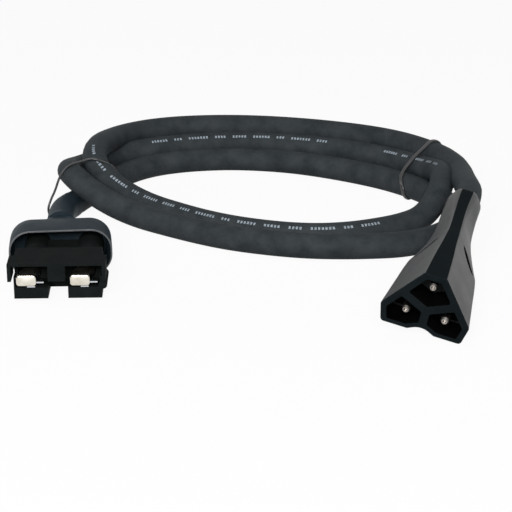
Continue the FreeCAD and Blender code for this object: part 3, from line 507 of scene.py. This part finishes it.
def make_plug_shell():
    skin = Skin()
    face = plug_ring(skin, moved_in(notched(plug_outline(0), 0), FACE_BEVEL), 0)
    stations = [FACE_BEVEL, *np.linspace(1.5, 36, 24), *np.linspace(36.6, 50, 42), *np.linspace(51, 92, 42),
                93, 94.2]
    cut = [grooved(notched(plug_outline(s), s), s) for s in stations]
    outside = [plug_ring(skin, points, s) for s, (points, _) in zip(stations, cut)]
    closing = [plug_ring(skin, moved_in(plug_outline(s), inset), s)
               for s, inset in ((95.4, 0.18), (96.4, 0.45), (97.3, 0.85), (98.0, 1.35), (98.4, 1.8))]
    tail = plug_outline(PLUG_END)
    tail_end = plug_ring(skin, bore_points(tail), PLUG_END)
    holes_front, holes_back = [], []
    for corners in cavity_outlines():
        outline = rounded_outline(corners, [CAVITY_CORNER] * len(corners), arc=4, sides=5)
        rings = [plug_ring(skin, moved_in(outline, -0.22), 0), plug_ring(skin, outline, 0.22),
                 plug_ring(skin, outline, CAVITY_DEPTH / 2), plug_ring(skin, outline, CAVITY_DEPTH - 0.02)]
        skin.join(rings[0], rings[1], FACE)
        skin.loft(rings[1:], CAVITY)
        holes_front.append(rings[0])
        holes_back.append(rings[-1])
    # the ridge's faces take the ridge's painted shade
    on_ridge = [RIDGE if 3 <= i < 4 + SIDES[0] + 1 else BODY for i in range(len(tail))]
    skin.join(face, outside[0], FACE)
    for first, (_, depths), second in zip(outside, cut, outside[1:]):
        # faces more than 0.5 mm deep in the finger grooves take the hollows' near-black painted shade
        skin.join(first, second, [CAVITY if depth > 0.5 else finish for depth, finish in zip(depths, on_ridge)])
    skin.join(outside[-1], closing[0], on_ridge)
    skin.loft(closing, on_ridge)
    skin.join(closing[-1], tail_end)
    skin.wall(face, holes_front, FACE)
    chamber = [plug_ring(skin, plug_outline(s, SHELL), s) for s in np.linspace(CAVITY_DEPTH - 0.02, CHAMBER_END, 18)]
    skin.wall(chamber[0], holes_back)
    skin.loft(chamber)
    inner_bore = [plug_ring(skin, bore_points(plug_outline(s)), s) for s in (CHAMBER_END, BORE_START)]
    skin.join(chamber[-1], inner_bore[0])
    skin.join(inner_bore[0], inner_bore[1])
    skin.join(inner_bore[1], tail_end)
    obj = skin.finish("plug_shell", [plug_plastic, ridge_plastic_painted_shade, face_plastic_painted_shade, cavity_plastic_painted_shade],
                      slot="plug_shell")
    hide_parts("plug_housing")


make_plug_shell()


# connector's boot: millimetres in the boot's own axes, y from its mouth to the cable

BOOT_MOUTH = 32.6
POLE = 10.35
BARREL_HEIGHT = 7.4


def in_connector(x, y, z):
    turn = Matrix.Rotation(math.radians(CONNECTOR_YAW), 3, "Z")
    return CONNECTOR_PLACE + turn @ Vector((x, y, z)) / 1000


def in_boot(x, y, z):
    turn = Matrix.Rotation(math.radians(BOOT_YAW), 3, "Z")
    return in_connector(-0.8, BOOT_MOUTH, 7.75) + turn @ Vector((x, y, z)) / 1000


def box_reach(angle, half_width, top, bottom, corner):
    """how far out a rounded box goes in a direction"""
    c, s = math.cos(angle), math.sin(angle)
    middle, half_height = (top + bottom) / 2, (top - bottom) / 2
    near, far = 0.0, 40.0
    for _ in range(36):
        r = (near + far) / 2
        dx = abs(r * c) - (half_width - corner)
        dz = abs(r * s - middle) - (half_height - corner)
        outside = math.hypot(max(dx, 0), max(dz, 0)) + min(max(dx, dz), 0) - corner
        near, far = (r, far) if outside < 0 else (near, r)
    return (near + far) / 2


BOOT_POINTS = 120
BOOT_TURNS = [2 * math.pi * k / BOOT_POINTS for k in range(BOOT_POINTS)]
SLEEVE_RADIUS, SLEEVE_BORE, SLEEVE_FLARE, SLEEVE_END = 5.55, 5.27, 1.0, 0.0686
BOOT_BACK, BOOT_HALF, BOOT_TALL, BOOT_CORNER = 31.0, 20.1, 9.5, 8.5
LIP, WALL, SOCKET, CHAMBER_FRONT = 0.75, 1.75, 12.0, 14.0


def boot_ring(skin, station, inset=0.0, blend=0.0, radius=7.5, shrink=0.0):
    """a rounded box that sinks towards the back, and turns round as blend goes to 1"""
    top = BOOT_TALL - 0.0055 * station ** 2
    points = []
    for turn in BOOT_TURNS:
        box = box_reach(turn, BOOT_HALF - inset - shrink, top - inset - shrink * 0.8,
                        -BOOT_TALL + inset + shrink * 0.5, BOOT_CORNER - min(inset, 1.5))
        reach = box * (1 - blend) + radius * blend
        points.append(in_boot(reach * math.cos(turn), station, reach * math.sin(turn)))
    return skin.ring(points)


def sleeve_rings(skin, route, radii):
    """circles square to the cable's way"""
    rings = []
    for i, (place, radius) in enumerate(zip(route, radii)):
        along = (route[min(i + 1, len(route) - 1)] - route[max(i - 1, 0)]).normalized()
        side = along.cross(Vector((0, 0, 1))).normalized()
        up = side.cross(along)
        rings.append(skin.ring([place + (side * math.cos(t) + up * math.sin(t)) * radius / 1000
                                for t in BOOT_TURNS]))
    return rings


def make_boot():
    skin = Skin()
    near = cable_line[: next(i for i, p in enumerate(cable_line) if p.y > SLEEVE_END)]
    first = in_boot(0, BOOT_BACK, 0)
    route = [*(first.lerp(near[0], t) for t in (0.0, 0.35, 0.7)), *near]
    lengths = [1000 * s for s in along_line(route)]
    radii = [SLEEVE_RADIUS + SLEEVE_FLARE * math.exp(-s / 2.2) for s in lengths]
    outside = [boot_ring(skin, 0.0, 0.30), boot_ring(skin, 0.35)]
    outside += [boot_ring(skin, s) for s in (3, 7, 11, 15, 18, 20)]
    outside += [boot_ring(skin, s, shrink=shrink)
                for s, shrink in ((22, 0.15), (24, 0.65), (25.6, 1.3), (27, 2.2), (28.2, 3.3), (29.2, 4.6))]
    outside += [boot_ring(skin, s, shrink=shrink, blend=blend, radius=7.2)
                for s, shrink, blend in ((29.9, 6.0, 0.2), (30.4, 7.2, 0.5), (30.8, 8.2, 0.85))]
    # slot 1 is the lip's paler painted highlight
    skin.join(outside[0], outside[1], 1)
    skin.loft(outside[1:])
    sleeve = sleeve_rings(skin, route, radii)
    skin.join(outside[-1], sleeve[0])
    skin.loft(sleeve)
    inner = sleeve_rings(skin, route, [SLEEVE_BORE] * len(route))
    skin.join(sleeve[-1], inner[-1])
    skin.loft(inner)
    mouth = [boot_ring(skin, 0.0, LIP - 0.15), boot_ring(skin, 0.25, LIP), boot_ring(skin, 2.5, LIP + 0.15),
             boot_ring(skin, 5.0, WALL), boot_ring(skin, SOCKET, WALL)]
    # the lip's front face takes the painted highlight of slot 1
    skin.join(outside[0], mouth[0], 1)
    skin.loft(mouth)
    tubes = []
    for side in (-1, 1):
        rings = []
        for station in (SOCKET, CHAMBER_FRONT):
            centre = in_connector(side * POLE, BOOT_MOUTH + station, BARREL_HEIGHT)
            rings.append(skin.ring([centre + Vector((math.cos(t), 0, math.sin(t))) * CABLE_RADIUS
                                    for t in BOOT_TURNS[::3]]))
        skin.join(rings[0], rings[1])
        tubes.append(rings)
    skin.wall(mouth[-1], [tube[0] for tube in tubes])
    room = []
    for station, half_width, half_height in ((CHAMBER_FRONT, 15.8, 6.2), (20, 12.0, 5.9), (26, 8.0, 5.6),
                                             (29.5, 5.8, 5.4)):
        room.append(skin.ring([in_boot(r * math.cos(t), station, r * math.sin(t) - 0.35) for t, r in
                               ((t, box_reach(t, half_width, half_height, -half_height, 2.5)) for t in BOOT_TURNS)]))
    skin.wall(room[0], [tube[1] for tube in tubes])
    skin.loft(room)
    skin.join(room[-1], inner[0])
    obj = skin.finish("connector_boot_moulding", [boot_rubber, lip_rubber_painted_highlight], slot="boot_rubber")
    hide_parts("connector_boot")


make_boot()


# contacts and their springs: millimetres in the connector's own axes

def cross_section(width, height, corner, across, up, arc=3, side=3):
    half, tall = width / 2, height / 2
    corners = [(across - half, up + tall), (across + half, up + tall), (across + half, up - tall),
               (across - half, up - tall)]
    return rounded_outline(corners, [corner] * 4, arc=arc, sides=side)


def connector_ring(skin, points, station):
    return skin.ring([in_connector(p.x, station, p.y) for p in points])


def make_contact(name, pole, tip_shift):
    """a blade with a thick rolled tip, and the barrel that its wire is crimped in"""
    skin = Skin()
    tip, up = pole + tip_shift, 7.5
    forms = [(3.9, 6.5, 3.4, 0.9, tip), (4.05, 7.2, 4.1, 1.0, tip), (4.4, 7.5, 4.4, 1.1, tip),
             (5.2, 7.5, 4.4, 1.1, tip), (5.5, 7.2, 3.9, 1.0, tip), (6.0, 6.4, 2.2, 0.5, tip),
             (12.0, 6.4, 2.2, 0.5, tip), (14.5, 6.4, 3.4, 1.2, pole + tip_shift / 2), (16.5, 6.4, 6.4, 3.1, pole),
             (27.0, 6.4, 6.4, 3.1, pole)]
    rings = [connector_ring(skin, cross_section(width, height, corner, across, up - 0.1 * (station > 14)), station)
             for station, width, height, corner, across in forms]
    skin.wall(rings[0])
    skin.loft(rings)
    skin.wall(rings[-1])
    obj = skin.finish("contact_blade_" + name, [contact_plating], sharp=50.0, slot="contact_metal")
    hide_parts("contact_" + name)


def make_spring(name, tip):
    """the bowed leaf under a blade, and its end that stands beside the tip"""
    skin = Skin()
    along = [5.0, 5.6, 6.6, 7.8, 9.4, 11.0, 12.2, 13.2]
    lift = [4.72, 4.74, 5.0, 5.4, 5.72, 5.4, 5.0, 4.74]
    leaf = [connector_ring(skin, cross_section(3.0, 0.5, 0.15, tip + 1.7, z, arc=2, side=2), y)
            for y, z in zip(along, lift)]
    skin.wall(leaf[0])
    skin.loft(leaf)
    skin.wall(leaf[-1])
    end = [connector_ring(skin, cross_section(3.4, 0.55, 0.2, tip + 4.9, 6.7, arc=2, side=2), y)
           for y in (4.3, 5.5, 7.0)]
    skin.wall(end[0])
    skin.loft(end)
    skin.wall(end[-1])
    obj = skin.finish("spring_leaf_" + name, [spring_steel], slot="spring_metal")
    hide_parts("spring_" + name)


for pole_name, pole_at, shifted in (("positive", -POLE, -1.4), ("negative", POLE, -2.0)):
    make_contact(pole_name, pole_at, shifted)
    make_spring(pole_name, pole_at + shifted)


# pale printed bars along the second turn, in place of the cable's lettering

BARS_IN_GROUPS = (6, 3, 7, 4, 5)
INK_STANDS = 0.00004


def printed_bars(line, first, last, facing):
    """rows of short bars in uneven groups, like worn print that can't be read"""
    lengths = along_line(line)
    skin = Skin()
    towards = Vector(facing).normalized()
    bar, gap, space, tall = 0.00085, 0.00055, 0.0030, 0.00125

    def place(at):
        k = max(1, next(i for i, s in enumerate(lengths) if s >= at))
        share = (at - lengths[k - 1]) / max(lengths[k] - lengths[k - 1], 1e-9)
        tangent = (line[min(k + 1, len(line) - 1)] - line[max(k - 2, 0)]).normalized()
        return line[k - 1].lerp(line[k], share), tangent

    at, group = first, 0
    while at < last:
        for _ in range(BARS_IN_GROUPS[group % len(BARS_IN_GROUPS)]):
            corners = []
            for step in range(2):
                centre, tangent = place(at + bar * step)
                out = (towards - tangent * towards.dot(tangent)).normalized()
                side = tangent.cross(out)
                row = []
                for k in range(4):
                    turn = (k / 3 - 0.5) * tall / CABLE_RADIUS
                    spoke = out * math.cos(turn) + side * math.sin(turn)
                    row.append(skin.shape.verts.new(centre + spoke * (CABLE_RADIUS + INK_STANDS)))
                corners.append(row)
            for k in range(3):
                skin.shape.faces.new((corners[0][k], corners[0][k + 1], corners[1][k + 1], corners[1][k]))
            at += bar + gap
        at += space
        group += 1
    return skin


def nearest_length(line, place):
    """how far along a line it passes nearest to a place"""
    lengths = along_line(line)
    return min(zip(line, lengths), key=lambda pair: (pair[0] - Vector(place)).length)[1]


ink = shader("print_ink", (0.16, 0.20, 0.24), (0.42, 0.47, 0.52), 0.6, specular=0.1, mottle=1500.0, bump=0.1)
for label, start, end, facing in (
        ("back", SECOND_BACK[1], SECOND_BACK[7], (0.0, -0.8, 1.0)),
        ("right", SECOND_BACK[9], SECOND_BACK[13], (-0.5, -0.5, 1.0)),
        ("front", SECOND_FRONT[1], SECOND_FRONT[13], (0.0, -0.75, 1.0))):
    bars = printed_bars(cable_line, nearest_length(cable_line, start), nearest_length(cable_line, end), facing)
    bars.finish("cable_print_" + label, [ink])


# ties

def flat_band(name, path, across, width, thickness):
    """a closed band swept round a path, with its width along the bundle"""
    count, ring = len(path), 10
    mesh = bpy.data.meshes.new(name)
    shape = bmesh.new()
    rows = []
    for i, place in enumerate(path):
        forward = (path[(i + 1) % count] - path[i - 1]).normalized()
        side = (across - forward * across.dot(forward)).normalized()
        out = forward.cross(side)
        row = []
        for k in range(ring):
            turn = 2 * math.pi * k / ring
            c, s = math.cos(turn), math.sin(turn)
            c = math.copysign(abs(c) ** 0.6, c)
            s = math.copysign(abs(s) ** 0.6, s)
            row.append(shape.verts.new(place + side * (c * width / 2) + out * (s * thickness / 2)))
        rows.append(row)
    for i in range(count):
        a, b = rows[i], rows[(i + 1) % count]
        for k in range(ring):
            shape.faces.new((a[k], a[(k + 1) % ring], b[(k + 1) % ring], b[k]))
    bmesh.ops.recalc_face_normals(shape, faces=shape.faces)
    shape.to_mesh(mesh)
    shape.free()
    for face in mesh.polygons:
        face.use_smooth = True
    obj = bpy.data.objects.new(name, mesh)
    bpy.context.scene.collection.objects.link(obj)
    return obj


def hull_path(line, origin, normal, gap, reach):
    """the way a taut band takes round the strands that cross a plane near origin"""
    normal = normal.normalized()
    across = Vector((0, 0, 1)).cross(normal).normalized()
    up = normal.cross(across)
    if up.z < 0:
        up = -up
    cloud = []
    for a, b in zip(line, line[1:]):
        da, db = (a - origin).dot(normal), (b - origin).dot(normal)
        if da * db > 0 or da == db:
            continue
        centre = a.lerp(b, da / (da - db))
        if (centre - origin).length > reach:
            continue
        along = (b - a).normalized()
        first = along.cross(Vector((0, 0, 1))).normalized()
        second = along.cross(first)
        for k in range(48):
            turn = 2 * math.pi * k / 48
            spoke = (first * math.cos(turn) + second * math.sin(turn)) * (CABLE_RADIUS + gap)
            place = centre + spoke - along * (spoke.dot(normal) / along.dot(normal))
            cloud.append(((place - origin).dot(across), (place - origin).dot(up)))
    cloud = sorted(set(cloud))
    hull = []
    for points in (cloud, cloud[::-1]):
        part = []
        for p in points:
            while len(part) > 1 and ((part[-1][0] - part[-2][0]) * (p[1] - part[-2][1])
                                     - (part[-1][1] - part[-2][1]) * (p[0] - part[-2][0])) <= 0:
                part.pop()
            part.append(p)
        hull += part[:-1]
    loop = []
    for (u0, v0), (u1, v1) in zip(hull, hull[1:] + hull[:1]):
        steps = max(1, int(math.hypot(u1 - u0, v1 - v0) / 0.0008))
        for k in range(steps):
            t = k / steps
            loop.append(origin + across * (u0 + (u1 - u0) * t) + up * (v0 + (v1 - v0) * t))
    return loop


def leant(path, along, slide, top, bottom):
    """a band's way, slid along the bundle more and more towards its lower side"""
    made = []
    for p in path:
        share = max(0.0, min(1.0, (top - p.z) / (top - bottom)))
        made.append(p + along * (slide * share * share * (3 - 2 * share)))
    return made


ALONG_BUNDLE = Vector((0.667, -0.745, 0.0))
RIGHT_TIE_PLACE = Vector((0.0765, 0.1052, 0.0110))
BAND_WIDTH, BAND_THICKNESS, BAND_GAP, WIRE_RADIUS = 0.0019, 0.0009, 0.0005, 0.0005
right_path = leant(hull_path(cable_line, RIGHT_TIE_PLACE, ALONG_BUNDLE, BAND_GAP, reach=0.024), ALONG_BUNDLE,
                   slide=0.0050, top=0.0130, bottom=0.0040)
right_tie = flat_band("coil_tie_right_band", right_path, ALONG_BUNDLE, BAND_WIDTH, BAND_THICKNESS)
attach(right_tie, "root")
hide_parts("coil_tie_right")
dress(right_tie, tie_plastic)

LEFT_TIE = [
    (-0.0593, 0.0820, 0.0193), (-0.0640, 0.0775, 0.0228), (-0.0675, 0.0780, 0.0238), (-0.0725, 0.0763, 0.0226),
    (-0.0758, 0.0740, 0.0223), (-0.0785, 0.0725, 0.0209), (-0.0808, 0.0705, 0.0176), (-0.0822, 0.0650, 0.0132),
    (-0.0836, 0.0620, 0.0108), (-0.0852, 0.0600, 0.0062), (-0.0835, 0.0620, 0.0015), (-0.0765, 0.0690, 0.0003),
    (-0.0705, 0.0745, 0.0012), (-0.0665, 0.0775, 0.0060), (-0.0605, 0.0835, 0.0075), (-0.0566, 0.0850, 0.0110),
    (-0.0570, 0.0845, 0.0155),
]
left_tie = smooth_curve("coil_tie_left_wire", LEFT_TIE, WIRE_RADIUS, closed=True)
left_tie.data.bevel_resolution = 4
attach(left_tie, "root")
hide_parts("coil_tie_left")
dress(left_tie, tie_plastic)


# floor and light

def background_rays(tree):
    """1 for the rays that show the background: straight, in gloss or through glass"""
    new, link = tree.nodes.new, tree.links.new
    rays = new("ShaderNodeLightPath")
    first, second = new("ShaderNodeMath"), new("ShaderNodeMath")
    first.operation = second.operation = "MAXIMUM"
    link(rays.outputs["Is Camera Ray"], first.inputs[0])
    link(rays.outputs["Is Glossy Ray"], first.inputs[1])
    link(first.outputs[0], second.inputs[0])
    link(rays.outputs["Is Transmission Ray"], second.inputs[1])
    return second.outputs[0]


def make_floor():
    mesh = bpy.data.meshes.new("floor")
    half = 3.0
    mesh.from_pydata([(-half, -half, 0), (half, -half, 0), (half, half, 0), (-half, half, 0)], [], [(0, 1, 2, 3)])
    floor = bpy.data.objects.new("floor", mesh)
    bpy.context.scene.collection.objects.link(floor)
    material = bpy.data.materials.new("floor_white")
    material.use_nodes = True
    tree = material.node_tree
    tree.nodes.clear()
    new, link = tree.nodes.new, tree.links.new
    output = new("ShaderNodeOutputMaterial")
    matte = new("ShaderNodeBsdfDiffuse")
    bounce = new("ShaderNodeMapRange")
    bounce.inputs["To Min"].default_value = 0.30
    bounce.inputs["To Max"].default_value = 0.95
    link(background_rays(tree), bounce.inputs["Value"])
    link(bounce.outputs["Result"], matte.inputs["Color"])
    glow = new("ShaderNodeEmission")
    glow.inputs["Color"].default_value = (1.0, 1.0, 1.0, 1.0)
    glow.inputs["Strength"].default_value = 1.0
    share = new("ShaderNodeMath")
    share.operation = "MULTIPLY"
    share.inputs[1].default_value = 0.93
    link(background_rays(tree), share.inputs[0])
    mix = new("ShaderNodeMixShader")
    link(share.outputs[0], mix.inputs["Fac"])
    link(matte.outputs[0], mix.inputs[1])
    link(glow.outputs[0], mix.inputs[2])
    link(mix.outputs[0], output.inputs["Surface"])
    mesh.materials.append(material)


def make_world():
    world = bpy.data.worlds.new("studio")
    bpy.context.scene.world = world
    world.use_nodes = True
    tree = world.node_tree
    tree.nodes.clear()
    new, link = tree.nodes.new, tree.links.new
    output = new("ShaderNodeOutputWorld")
    light = new("ShaderNodeBackground")
    light.inputs["Color"].default_value = (0.93, 0.96, 1.0, 1.0)
    light.inputs["Strength"].default_value = 0.07
    shown = new("ShaderNodeBackground")
    shown.inputs["Color"].default_value = (1.0, 1.0, 1.0, 1.0)
    mix = new("ShaderNodeMixShader")
    link(background_rays(tree), mix.inputs["Fac"])
    link(light.outputs[0], mix.inputs[1])
    link(shown.outputs[0], mix.inputs[2])
    link(mix.outputs[0], output.inputs["Surface"])


def area_light(name, place, target, size, power):
    data = bpy.data.lights.new(name, "AREA")
    data.shape = "RECTANGLE"
    data.size, data.size_y = size
    data.energy = power
    lamp = bpy.data.objects.new(name, data)
    bpy.context.scene.collection.objects.link(lamp)
    lamp.location = place
    lamp.rotation_euler = (Vector(target) - Vector(place)).to_track_quat("-Z", "Y").to_euler()


make_floor()
make_world()
area_light("front_key", (-0.10, -1.0, 0.55), (0.0, 0.06, 0.0), (0.7, 0.3), 14.0)
area_light("overhead_soft", (-0.12, 0.0, 0.95), (-0.02, 0.05, 0.0), (0.55, 0.40), 1.0)
area_light("left_soft", (-0.85, 0.0, 0.35), (0.05, -0.02, 0.0), (0.3, 0.3), 1.2)
area_light("right_soft", (0.85, -0.1, 0.30), (0.07, -0.02, 0.0), (0.3, 0.3), 1.0)

bpy.context.scene.view_settings.view_transform = "Standard"
